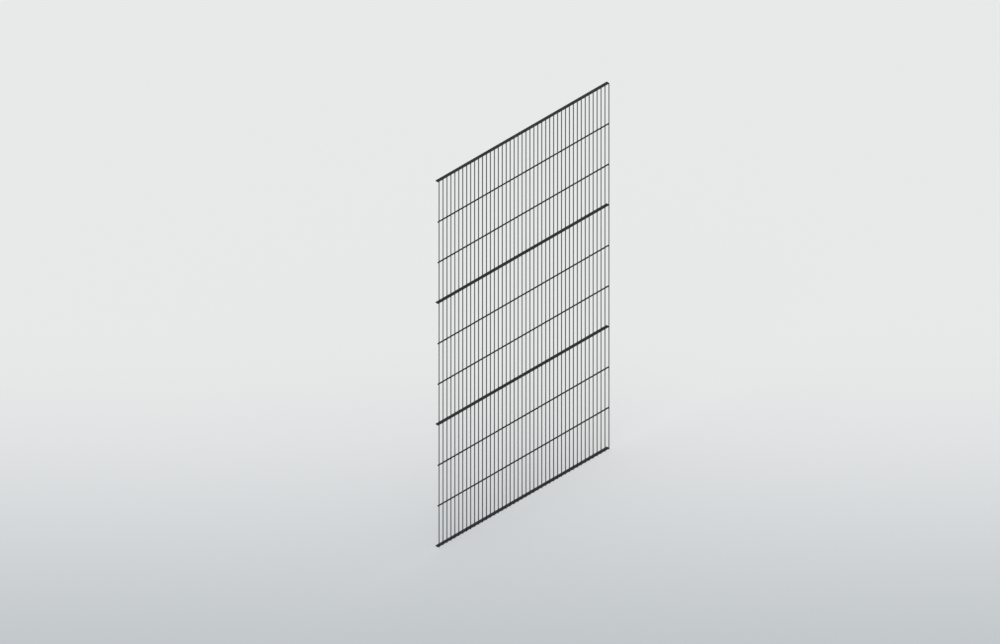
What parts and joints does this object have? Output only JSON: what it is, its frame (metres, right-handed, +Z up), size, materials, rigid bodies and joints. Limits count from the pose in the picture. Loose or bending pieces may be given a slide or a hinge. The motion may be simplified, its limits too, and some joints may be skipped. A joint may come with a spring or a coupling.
{
  "type": "machine guard panel",
  "caption": "Frameless welded wire mesh panel for a machine guard, with slim upright wires on level flat bars and round cross wires, coated dark grey.",
  "frame": {"origin": "middle of the bottom flat bar's underside", "axes": "+X along the panel to the right as seen from the wire side, +Y through the panel from the upright wires to the bars' back edges, +Z up along the upright wires"},
  "size_m": [0.976, 0.0188, 1.803],
  "materials": {
    "vertical_wire": "dark grey powder coat, low sheen",
    "flat_bar": "dark grey powder coat, low sheen",
    "cross_wire": "dark grey powder coat, low sheen"
  },
  "bodies": {
    "root": {"vertical_wires_01_02": "vertical_wire", "vertical_wires_03_04": "vertical_wire", "vertical_wires_05_06": "vertical_wire", "vertical_wires_07_08": "vertical_wire", "vertical_wires_09_10": "vertical_wire", "vertical_wires_11_12": "vertical_wire", "vertical_wires_13_14": "vertical_wire", "vertical_wires_15_16": "vertical_wire", "vertical_wires_17_18": "vertical_wire", "vertical_wires_19_20": "vertical_wire", "vertical_wires_21_22": "vertical_wire", "vertical_wires_23_24": "vertical_wire", "vertical_wires_25_26": "vertical_wire", "vertical_wires_27_28": "vertical_wire", "vertical_wires_29_30": "vertical_wire", "vertical_wires_31_32": "vertical_wire", "vertical_wires_33_34": "vertical_wire", "vertical_wires_35_36": "vertical_wire", "vertical_wires_37_38": "vertical_wire", "vertical_wires_39_40": "vertical_wire", "vertical_wires_41_42": "vertical_wire", "vertical_wires_43_44": "vertical_wire", "bottom_flat_bar": "flat_bar", "middle_flat_bar_1": "flat_bar", "middle_flat_bar_2": "flat_bar", "top_flat_bar": "flat_bar", "cross_wire_1": "cross_wire", "cross_wire_2": "cross_wire", "cross_wire_3": "cross_wire", "cross_wire_4": "cross_wire", "cross_wire_5": "cross_wire", "cross_wire_6": "cross_wire"}
  },
  "joints": []
}
